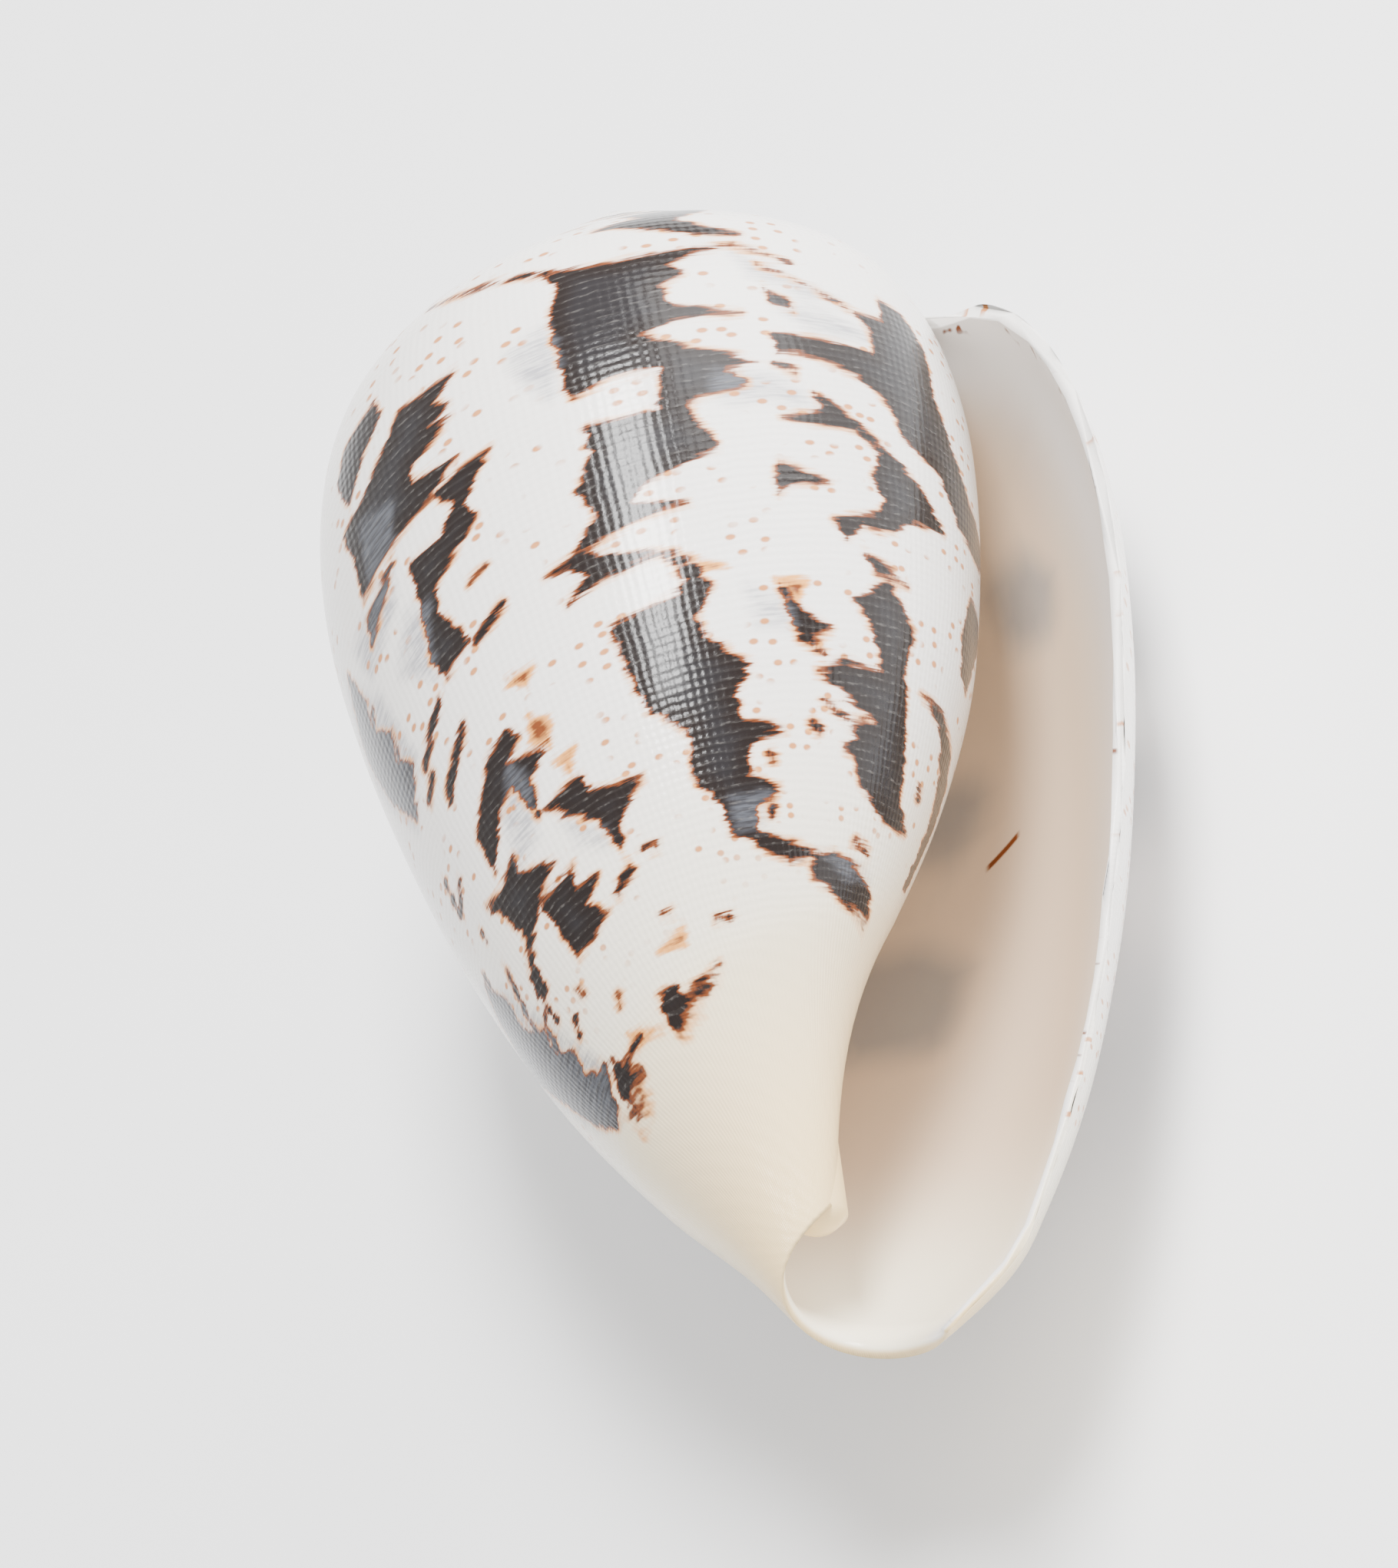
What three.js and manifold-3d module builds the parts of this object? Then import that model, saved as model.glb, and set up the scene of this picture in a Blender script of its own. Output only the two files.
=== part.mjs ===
// A cone shell lying on its back with the aperture turned up and to the side.
// The shell is one piece that grew by a spiral: one section of its wall is turned round the
// axis and enlarged about the apex at the same time. The early whorls are solid here, and the
// last whorl is a thin wall round a chamber that is open at the aperture and at the front canal.
import * as THREE from 'three';
import { mergeVertices } from 'three/addons/utils/BufferGeometryUtils.js';
import Module from 'manifold-3d';

// Driving dimensions in millimetres and degrees
const EXPANSION = 1.436; // enlargement of the section in one turn
const SPIRE_HEIGHT = 8.8; // apex above the last whorl's suture at the lip
const FRONT_FROM = 0.9; // how far along the outline the front canal starts
const FRONT_LENGTHWISE = 0.41; // the canal's share of the growth along the axis
const FRONT_ACROSS = 4; // and across it, so that it winds in to the columella
const NECK_DRAW = 0.09; // how much the neck behind the canal is drawn in
const NECK_ALONG = [0.57, 0.96]; // where along the outline that starts and is full
const NECK_TURN = [200, 380]; // and over which growth angles before the lip
const LIP_FLARE = 0.032; // how much the wall is drawn in just before the lip, which flares
const FLARE_TURN = [150, 25]; // where that starts and is greatest, in degrees before the lip
const LIP_AZIMUTH = 73.8; // where the lip stands round the axis, from the front to the right
const WALL = 1.5; // thickness of the last whorl's wall
const LIP_EDGE = 0.7; // thickness where the wall ends at the lip
const LIP_TAPER = 50; // the last degrees of growth, over which the wall thins to its edge
const LIP_NOTCH = 18; // how far the lip's edge falls back at the suture
const NOTCH_ALONG = 0.13; // the part of the outline that falls back
const NOTCH_TURN = 90; // and the last degrees of growth that do
const WALL_AT_FRONT = 0.6; // the wall's thickness at the front end, as a share of the rest
const CHAMBER_TURN = 330; // how far the open chamber runs in from the lip
const CORE_RADIUS = 0.4; // inner edge of the solid whorls' sections, inside the pillar
const PILLAR_RADIUS = 2.4; // the columella, which the whorls wind round
const PILLAR_TIP = 1.45; // its radius at the front end
const PILLAR_SIDES = 20;
const APEX_RADIUS = 0.5; // the columella's top, which rounds off the apex
const REST_ROLL = 32; // turn about the axis that brings the shell to where it settles
const REST_PITCH = 2; // and the lift of its spire
const FLAT_DEPTH = 0.6; // the worn flat on which it rests

// The outline of the last whorl at the lip, from the suture to the front end:
// distance from the axis, and drop below the suture
const OUTLINE = [
  [11.6, 0], [14.3, 2.2], [16.9, 3.9], [19.6, 6.65], [21.1, 10.65], [21.8, 16.8], [21.3, 24.1],
  [19.9, 32.1], [17.8, 40.3], [14.5, 49.1], [11.2, 55.2], [9.2, 58.0], [5.1, 60.6],
];
// Under the suture the wall is rooted this deep in the whorl before
const ROOT = [10.2, 0.6];
// The early whorls need only their shoulder, because the later ones wrap the rest
const SHOULDER_ALONG = 0.22;
const BODY_HALF_TURNS = 2;
const SPIRE_HALF_TURNS = 8;
const SAME_POINT = 1e-4; // points closer than this are one
const CORNERS_APART = 0.02; // how far corners that would touch are set back
// Degrees of growth from one section to the next
const FINE_STEP = 7.5;
const COARSE_STEP = 15;
// Points along the outline in each kind of section
const WHORL_STATIONS = 19;
const SPIRE_STATIONS = 5;
const FRONT_CROWDING = 1.35; // how much closer together they get towards the front end
const DRAW_IN = 0.04; // how much a piece draws in where it runs on inside the next one

const outlineCurve = new THREE.CatmullRomCurve3(
  OUTLINE.map(([radius, drop]) => new THREE.Vector3(radius, -drop, 0)), false, 'centripetal');

const { degToRad, lerp, smoothstep } = THREE.MathUtils;

// One point of a section at the size it has at the lip
function sectionPoint(radius, height, along) {
  return { radius, height, along };
}

function outlinePoint(along) {
  const { x, y } = outlineCurve.getPointAt(along);
  return sectionPoint(x, y, along);
}

// The chamber's side of the wall, one thickness in from the outline
function liningPoint(along, thickness) {
  const { x, y } = outlineCurve.getPointAt(along);
  const tangent = outlineCurve.getTangentAt(along);
  return sectionPoint(x + tangent.y * thickness, y - tangent.x * thickness, along);
}

// Where a section point stands at a growth angle, which is 0 at the lip. The shell's own
// frame has the apex at the origin, Y along the axis to the apex and Z to the front.
function grownPoint({ radius, height, along }, turn) {
  const frontness = smoothstep(along, FRONT_FROM, 1);
  const neck = 1 - NECK_DRAW * smoothstep(along, ...NECK_ALONG) * smoothstep(-turn, ...NECK_TURN);
  const [flareFrom, flareAt] = FLARE_TURN;
  const flare = 1 - LIP_FLARE * smoothstep(turn, -flareFrom, -flareAt)
    * (1 - smoothstep(turn, -flareAt, 0));
  const reach = radius * neck * flare
    * EXPANSION ** (turn / 360 * lerp(1, FRONT_ACROSS, frontness));
  const rise = (height - SPIRE_HEIGHT)
    * EXPANSION ** (turn / 360 * lerp(1, FRONT_LENGTHWISE, frontness));
  const fallBack = LIP_NOTCH * (1 - smoothstep(along, 0, NOTCH_ALONG))
    * smoothstep(turn, -NOTCH_TURN, 0);
  const azimuth = degToRad(LIP_AZIMUTH - turn + fallBack);
  return new THREE.Vector3(reach * Math.sin(azimuth), rise, reach * Math.cos(azimuth));
}

function spread(count, from, to) {
  return Array.from({ length: count }, (_, i) => lerp(from, to, i / (count - 1)));
}

// Places along the outline, closer together towards the front end, which curves most
function stationsOf(count) {
  return spread(count, 1, 0).map((left) => 1 - left ** FRONT_CROWDING);
}

// A closed solid swept from one growth angle to another by a section that may change
function sweepSection(sectionAt, from, to, steps) {
  const turns = spread(steps + 1, from, to);
  const rings = turns.map((turn) => sectionAt(turn).map((point) => grownPoint(point, turn)));
  const size = rings[0].length;
  const triangles = [];
  for (let ring = 0; ring < steps; ring += 1) {
    for (let i = 0; i < size; i += 1) {
      const j = (i + 1) % size;
      const a = ring * size + i;
      const b = ring * size + j;
      triangles.push(a, b, b + size, a, b + size, a + size);
    }
  }
  const last = steps * size;
  for (const [turn, offset, turned] of [[from, 0, false], [to, last, true]]) {
    const face = sectionAt(turn).map(({ radius, height }) => new THREE.Vector2(radius, height));
    for (const [a, b, c] of THREE.ShapeUtils.triangulateShape(face, [])) {
      triangles.push(offset + a, offset + (turned ? c : b), offset + (turned ? b : c));
    }
  }
  return closedGeometry(rings.flat(), triangles);
}

// A geometry whose faces point out whichever way round its section was drawn
function closedGeometry(points, triangles) {
  const volume = triangles.reduce((sum, _, i) => {
    if (i % 3 > 0) return sum;
    const [a, b, c] = [points[triangles[i]], points[triangles[i + 1]], points[triangles[i + 2]]];
    return sum + a.dot(b.clone().cross(c));
  }, 0);
  const index = volume < 0 ? triangles.slice().reverse() : triangles;
  const geometry = new THREE.BufferGeometry().setFromPoints(points);
  geometry.setIndex(index);
  return geometry;
}

const wasm = await Module();
wasm.setup();

function solidOf(geometry) {
  geometry.deleteAttribute('normal');
  geometry.deleteAttribute('uv');
  const merged = mergeVertices(geometry, SAME_POINT);
  return new wasm.Manifold(new wasm.Mesh({
    numProp: 3,
    vertProperties: new Float32Array(merged.attributes.position.array),
    triVerts: new Uint32Array(merged.index.array),
  }));
}

// The union leaves doubled points where two whorls share a section. They are merged here, and
// the specks that this splits off are dropped.
function cleaned(solid) {
  const pieces = solidOf(geometryOf(solid)).decompose();
  return pieces.sort((a, b) => b.volume() - a.volume())[0];
}

// Where two parts of the surface touch at one corner, both corners are set back from it
function cornersApart(geometry) {
  geometry.computeVertexNormals();
  const { position, normal } = geometry.attributes;
  const corners = Array.from({ length: position.count },
    (_, i) => new THREE.Vector3().fromBufferAttribute(position, i));
  const placeOf = (corner) => corner.toArray().map((part) => part.toFixed(4)).join(' ');
  const uses = new Map();
  corners.forEach((corner) => uses.set(placeOf(corner), (uses.get(placeOf(corner)) ?? 0) + 1));
  corners.forEach((corner, i) => {
    if (uses.get(placeOf(corner)) === 1) return;
    const outward = new THREE.Vector3().fromBufferAttribute(normal, i);
    corner.clone().addScaledVector(outward, -CORNERS_APART).toArray(position.array, 3 * i);
  });
  return geometry;
}

function geometryOf(solid) {
  const { vertProperties, triVerts } = solid.getMesh();
  const geometry = new THREE.BufferGeometry();
  geometry.setAttribute('position', new THREE.BufferAttribute(vertProperties, 3));
  geometry.setIndex(new THREE.BufferAttribute(triVerts, 1));
  return geometry;
}

// The last whorl: a strip of wall, rooted under the suture and ending free at the front
function lastWhorl() {
  const stations = stationsOf(WHORL_STATIONS);
  const wallSection = (turn) => {
    const thickness = lerp(WALL, LIP_EDGE, smoothstep(turn, -LIP_TAPER, 0));
    const [rootRadius, rootDrop] = ROOT;
    return [
      sectionPoint(rootRadius, -rootDrop, 0),
      ...stations.map(outlinePoint),
      ...stations.map(
        (along) => liningPoint(along, thickness * lerp(1, WALL_AT_FRONT, along))).reverse(),
      sectionPoint(rootRadius, -rootDrop - thickness, 0),
    ];
  };
  return solidOf(sweepSection(wallSection, -CHAMBER_TURN, 0, CHAMBER_TURN / FINE_STEP));
}

// A section drawn in towards its middle
function drawnIn(section) {
  const middle = (key) => section.reduce((sum, point) => sum + point[key], 0) / section.length;
  const [radius, height] = [middle('radius'), middle('height')];
  return section.map((point) => sectionPoint(
    lerp(point.radius, radius, DRAW_IN), lerp(point.height, height, DRAW_IN), point.along));
}

// Half a turn of a solid whorl, filled in to the axis, and one step inside the next half
function filledHalfTurn(start, stations, step) {
  const lastAlong = stations[stations.length - 1];
  const section = [
    ...stations.map(outlinePoint),
    sectionPoint(CORE_RADIUS, outlinePoint(lastAlong).height, lastAlong),
    sectionPoint(CORE_RADIUS, -ROOT[1], 0),
    sectionPoint(ROOT[0], -ROOT[1], 0),
  ];
  const steps = 180 / step + 1;
  const sectionAt = (turn) => (turn > start + 180 ? drawnIn(section) : section);
  return solidOf(sweepSection(sectionAt, start, start + steps * step, steps));
}

function earlyWhorls() {
  const halfTurns = (count, first) => Array.from({ length: count }, (_, i) => first - 180 * i);
  const body = halfTurns(BODY_HALF_TURNS, -CHAMBER_TURN - 180).map(
    (start) => filledHalfTurn(start, stationsOf(WHORL_STATIONS), FINE_STEP));
  const spireFrom = -CHAMBER_TURN - 180 * (BODY_HALF_TURNS + 1);
  const shoulder = spread(SPIRE_STATIONS, 0, SHOULDER_ALONG);
  const spire = halfTurns(SPIRE_HALF_TURNS, spireFrom).map(
    (start) => filledHalfTurn(start, shoulder, COARSE_STEP));
  return [...body, ...spire];
}

// The columella runs down the axis and closes the apex with its round top
function columella() {
  const frontEnd = grownPoint(outlinePoint(1), -CHAMBER_TURN).y;
  const profile = [
    new THREE.Vector2(0, frontEnd - 0.8),
    new THREE.Vector2(PILLAR_TIP * 0.6, frontEnd - 0.6),
    new THREE.Vector2(PILLAR_TIP, frontEnd - 0.1),
    new THREE.Vector2(PILLAR_RADIUS, frontEnd * 0.7),
    new THREE.Vector2(PILLAR_RADIUS, -4),
    new THREE.Vector2(APEX_RADIUS, -APEX_RADIUS),
    new THREE.Vector2(0, -0.15),
  ];
  return solidOf(new THREE.LatheGeometry(profile, PILLAR_SIDES));
}

function shellGeometry() {
  const grown = [...earlyWhorls(), columella()].reduce(
    (whole, piece) => whole.add(piece), lastWhorl());
  // Laid down: the axis along Y, then rolled and pitched to the attitude in which it settles
  const laid = cleaned(grown).rotate([0, REST_ROLL, 0]).rotate([REST_PITCH, 0, 0]);
  const { min, max } = laid.boundingBox();
  const placed = laid.translate(
    [-(min[0] + max[0]) / 2, -(min[1] + max[1]) / 2, -min[2] - FLAT_DEPTH]);
  const above = [0, 0, 1];
  return cornersApart(geometryOf(cleaned(placed.trimByPlane(above, 0))));
}

const shellMaterial = new THREE.MeshStandardMaterial({
  color: 0xf2eee6, roughness: 0.22, metalness: 0,
});
const shell = new THREE.Mesh(shellGeometry(), shellMaterial);
shell.name = 'shell';

const group = new THREE.Group();
group.name = 'cone_shell';
group.add(shell);
export default group;
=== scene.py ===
# A cone shell with a chocolate-brown blotched pattern, lying on its back on a pale floor.
# The shell grew by a spiral, so its mesh and its pattern share one pair of coordinates:
# the growth angle round the axis, which is 0 at the lip and falls towards the apex, and the
# place along the whorl's outline, from 0 at the suture to 1 at the front end.
import math
from functools import partial

import bmesh
import bpy
import numpy as np
from mathutils import Matrix, Vector


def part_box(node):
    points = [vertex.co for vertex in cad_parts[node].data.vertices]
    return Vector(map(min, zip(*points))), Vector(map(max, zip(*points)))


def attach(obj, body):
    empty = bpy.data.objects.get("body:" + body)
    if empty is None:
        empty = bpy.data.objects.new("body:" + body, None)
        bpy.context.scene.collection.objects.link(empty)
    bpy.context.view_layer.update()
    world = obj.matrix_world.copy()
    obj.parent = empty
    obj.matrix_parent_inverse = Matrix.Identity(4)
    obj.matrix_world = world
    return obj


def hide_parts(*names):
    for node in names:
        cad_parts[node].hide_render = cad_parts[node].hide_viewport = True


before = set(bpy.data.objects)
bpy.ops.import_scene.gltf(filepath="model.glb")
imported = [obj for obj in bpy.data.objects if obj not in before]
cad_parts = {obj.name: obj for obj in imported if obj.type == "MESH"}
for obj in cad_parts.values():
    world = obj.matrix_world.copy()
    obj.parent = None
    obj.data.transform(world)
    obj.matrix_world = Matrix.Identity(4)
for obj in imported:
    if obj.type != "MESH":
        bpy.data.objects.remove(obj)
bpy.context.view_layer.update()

MM = 0.001
THOUSANDTH = 0.001

# Driving dimensions in millimetres and degrees
EXPANSION = 1.436  # enlargement of the section in one turn
SPIRE_HEIGHT = 8.8  # apex above the last whorl's suture at the lip
FRONT_FROM = 0.9  # how far along the outline the front canal starts
FRONT_LENGTHWISE = 0.41  # the canal's share of the growth along the axis
FRONT_ACROSS = 4  # and across it, so that it winds in to the columella
NECK_DRAW = 0.09  # how much the neck behind the canal is drawn in
NECK_ALONG = (0.57, 0.96)  # where along the outline that starts and is full
NECK_TURN = (200, 380)  # and over which growth angles before the lip
LIP_FLARE = 0.032  # how much the wall is drawn in just before the lip, which flares
FLARE_TURN = (-150, -25)  # where that starts and is greatest
LIP_AZIMUTH = 73.8  # where the lip stands round the axis
WALL = 1.5
WALL_AT_FRONT = 0.6  # the wall's thickness at the front end, as a share of the rest
LIP_EDGE = 0.7
LIP_TAPER = 50  # the last degrees of growth, over which the wall thins to its edge
LIP_NOTCH = 18  # how far the lip's edge falls back at the suture
NOTCH_ALONG = 0.13
NOTCH_TURN = 90
LIP_WAVER = 0.8  # how far the lip's edge wavers, in degrees of growth
WAVER_WAVES = ((37, 0), (83, 1), (151, 2))  # its waves' rate and start, in radians
PILLAR_RADIUS = 2.4
PILLAR_TIP = 1.45
PILLAR_SIDES = 48
APEX_RADIUS = 0.5
COLUMELLA_TURN = -330  # the growth angle at which the columella's front end stands
WELD = 1e-5
REST_ROLL = 32
REST_PITCH = 2
FLAT_DEPTH = 0.6  # the worn flat on which it rests
OUTLINE = [
    (11.6, 0), (14.3, 2.2), (16.9, 3.9), (19.6, 6.65), (21.1, 10.65), (21.8, 16.8), (21.3, 24.1),
    (19.9, 32.1), (17.8, 40.3), (14.5, 49.1), (11.2, 55.2), (9.2, 58.0), (5.1, 60.6),
]  # distance from the axis, and drop below the suture
ROOT = (10.2, 0.6)  # under the suture the wall is rooted this deep in the whorl before
CORE_RADIUS = 0.4

# How finely the mesh follows them
OUTER_STATIONS = 190
LINING_STATIONS = 32
BODY_FROM = -540  # the wall is modelled in full from here
FINE_FROM = -402  # and finely here, where the marks lie that the photograph shows
FINE_TO = -160
BODY_STEP = 3
FINE_STEP = 1
LIP_TURNS = (-2, -1.2, -0.6, 0)  # closer still, for the wavering edge
SPIRE_FROM = -3400  # and only its shoulder before, which the later whorls leave in sight
SPIRE_STEP = 10
SHOULDER_ALONG = 0.25
SPIRE_TURNS = [
    *np.arange(SPIRE_FROM, BODY_FROM, SPIRE_STEP), BODY_FROM, BODY_FROM + BODY_STEP]
BODY_TURNS = [
    *np.arange(BODY_FROM, FINE_FROM, BODY_STEP), *np.arange(FINE_FROM, FINE_TO, FINE_STEP),
    *np.arange(FINE_TO, -BODY_STEP, BODY_STEP), *LIP_TURNS]

# Where the photograph was taken from: the camera's attitude to the shell's own axis, in degrees,
# its distance, and the point on the axis that it looks at, which lies a little off the centre
CAMERA_TILT = 34.37
CAMERA_ROLL = 11.51
CAMERA_DISTANCE = 1025
CAMERA_TARGET = -26.65
CAMERA_PIXELS_PER_MM = 26.62
PICTURE = (1820, 2042)
TARGET_PIXEL = (913.8, 840.2)
SENSOR_MM = 36
CLIP_START = 0.05  # metres

# The studio, in metres and watts. A light's direction is in the shell's own frame.
FLOOR_HALF = 1.5
FLOOR_COLOUR = (0.94, 0.94, 0.94)
FLOOR_ROUGHNESS = 0.8
STRIP = {"direction": (-0.05, 0.2, 0.98), "distance": 0.5, "size": (0.11, 0.3), "power": 6.5}
FILL = {"direction": (0.5, 0.55, 0.65), "distance": 0.9, "size": (0.7, 0.7), "power": 12}
ROOM_LIGHT = 1.25
SHELL_AXIS = (0, 1, 0)


def smoothstep(value, low, high):
    share = np.clip((np.asarray(value, float) - low) / (high - low), 0, 1)
    return share * share * (3 - 2 * share)


def lerp(low, high, share):
    return low + (high - low) * share


def smooth_curve(points, samples=400):
    """A centripetal Catmull-Rom curve through the points, and the length up to each sample."""
    knots = np.array(points, float)
    ends = [2 * knots[0] - knots[1], *knots, 2 * knots[-1] - knots[-2]]
    dense = []
    for before, start, end, after in zip(ends, ends[1:], ends[2:], ends[3:]):
        gaps = [math.sqrt(math.dist(a, b)) for a, b in ((before, start), (start, end), (end, after))]
        chord = (end - start) / gaps[1]
        leave = ((start - before) / gaps[0] - (end - before) / (gaps[0] + gaps[1]) + chord) * gaps[1]
        arrive = (chord - (after - start) / (gaps[1] + gaps[2]) + (after - end) / gaps[2]) * gaps[1]
        for share in np.linspace(0, 1, samples, endpoint=False):
            square, cube = share ** 2, share ** 3
            dense.append((2 * cube - 3 * square + 1) * start + (cube - 2 * square + share) * leave
                         + (3 * square - 2 * cube) * end + (cube - square) * arrive)
    dense = np.array([*dense, knots[-1]])
    length = np.concatenate([[0], np.cumsum(np.linalg.norm(np.diff(dense, axis=0), axis=1))])
    return dense, length


CURVE, CURVE_LENGTH = smooth_curve([(radius, -drop) for radius, drop in OUTLINE])
OUTLINE_LENGTH = CURVE_LENGTH[-1]


def outline_at(along):
    at = np.asarray(along, float) * OUTLINE_LENGTH
    return np.stack([np.interp(at, CURVE_LENGTH, CURVE[:, axis]) for axis in (0, 1)], -1)


def outline_direction(along):
    reach = 0.002
    ahead = outline_at(np.minimum(np.asarray(along) + reach, 1))
    behind = outline_at(np.maximum(np.asarray(along) - reach, 0))
    step = ahead - behind
    return step / np.linalg.norm(step, axis=-1, keepdims=True)


def lip_waver(along, turn):
    """Degrees by which the lip's last edge stands before or behind its line."""
    waves = sum(np.sin(rate * along + start) for rate, start in WAVER_WAVES) / len(WAVER_WAVES)
    return LIP_WAVER * smoothstep(turn, -2 * LIP_WAVER, 0) * waves


def grown(radius, height, along, turn):
    """Where section points stand at a growth angle. Apex at the origin, Y along the axis."""
    frontness = smoothstep(along, FRONT_FROM, 1)
    neck = 1 - NECK_DRAW * smoothstep(along, *NECK_ALONG) * smoothstep(-turn, *NECK_TURN)
    flare = 1 - LIP_FLARE * smoothstep(turn, *FLARE_TURN) * (1 - smoothstep(turn, FLARE_TURN[1], 0))
    reach = radius * neck * flare * EXPANSION ** (turn / 360 * lerp(1, FRONT_ACROSS, frontness))
    rise = (height - SPIRE_HEIGHT) * EXPANSION ** (turn / 360 * lerp(1, FRONT_LENGTHWISE, frontness))
    fall_back = (LIP_NOTCH * (1 - smoothstep(along, 0, NOTCH_ALONG))
                 * smoothstep(turn, -NOTCH_TURN, 0))
    azimuth = np.radians(LIP_AZIMUTH - turn + fall_back + lip_waver(along, turn))
    return np.stack([reach * np.sin(azimuth), rise, reach * np.cos(azimuth)], -1)


def wall_section(turn):
    """The wall's closed section at a growth angle: radius, height, along, and 1 on the lining."""
    outer = np.linspace(0, 1, OUTER_STATIONS)
    inner = np.linspace(1, 0, LINING_STATIONS)
    thickness = lerp(WALL, LIP_EDGE, float(smoothstep(turn, -LIP_TAPER, 0)))
    depth = (thickness * lerp(1, WALL_AT_FRONT, inner))[:, None]
    direction = outline_direction(inner)
    lining = outline_at(inner) + np.stack([direction[:, 1], -direction[:, 0]], -1) * depth
    return np.concatenate([
        np.column_stack([outline_at(outer), outer, np.zeros(OUTER_STATIONS)]),
        np.column_stack([lining, inner, np.ones(LINING_STATIONS)]),
        [(ROOT[0], -ROOT[1] - thickness, 0, 1), (ROOT[0], -ROOT[1], 0, 0)]])


def shoulder_section():
    """An early whorl's section at any growth angle: its shoulder, filled in to the axis."""
    outer = np.linspace(0, 1, OUTER_STATIONS)
    outer = outer[outer <= SHOULDER_ALONG]
    place = outline_at(outer)
    return np.concatenate([
        np.column_stack([place, outer, np.zeros(len(outer))]),
        [(CORE_RADIUS, place[-1, 1], outer[-1], 0), (CORE_RADIUS, -ROOT[1], 0, 0),
         (ROOT[0], -ROOT[1], 0, 0)]])


def set_ring(ring, layers, turn, section):
    for vert, place, (_, _, along, lining) in zip(ring, grown(*section.T[:3], turn), section):
        vert.co = place
        vert[layers["growth"]] = turn
        vert[layers["along"]] = along
        vert[layers["lining"]] = lining


def sweep(bm, layers, sections):
    """Extrude a closed section from one growth angle to the next, and close both ends."""
    first, *later = sections
    ring = bmesh.ops.create_circle(bm, segments=len(first[1]), radius=1)["verts"]
    edges = list(dict.fromkeys(edge for vert in ring for edge in vert.link_edges))
    bmesh.ops.edgeloop_fill(bm, edges=edges)
    set_ring(ring, layers, *first)
    for turn, section in later:
        extruded = bmesh.ops.extrude_edge_only(bm, edges=edges)["geom"]
        edges = [item for item in extruded if isinstance(item, bmesh.types.BMEdge)]
        ring = [item for item in extruded if isinstance(item, bmesh.types.BMVert)]
        set_ring(ring, layers, turn, section)
    bmesh.ops.edgeloop_fill(bm, edges=edges)


def columella(bm, layers):
    """The pillar down the axis, a profile spun once round it."""
    front_end = float(grown(*outline_at(1.0), 1.0, COLUMELLA_TURN)[1])
    profile = [
        (0, front_end - 0.8), (PILLAR_TIP * 0.6, front_end - 0.6), (PILLAR_TIP, front_end - 0.1),
        (PILLAR_RADIUS, front_end * 0.7), (PILLAR_RADIUS, -4), (APEX_RADIUS, -0.5), (0, -0.15)]
    others = set(bm.verts)
    verts = [bm.verts.new((radius, height, 0)) for radius, height in profile]
    edges = [bm.edges.new(pair) for pair in zip(verts, verts[1:])]
    bmesh.ops.spin(bm, geom=[*verts, *edges], cent=(0, 0, 0), axis=SHELL_AXIS,
                   angle=math.tau, steps=PILLAR_SIDES, use_merge=True)
    pillar = [vert for vert in bm.verts if vert not in others]
    bmesh.ops.remove_doubles(bm, verts=pillar, dist=WELD)
    for vert in set(bm.verts) - others:
        vert[layers["growth"]] = COLUMELLA_TURN
        vert[layers["along"]] = 1


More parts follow.
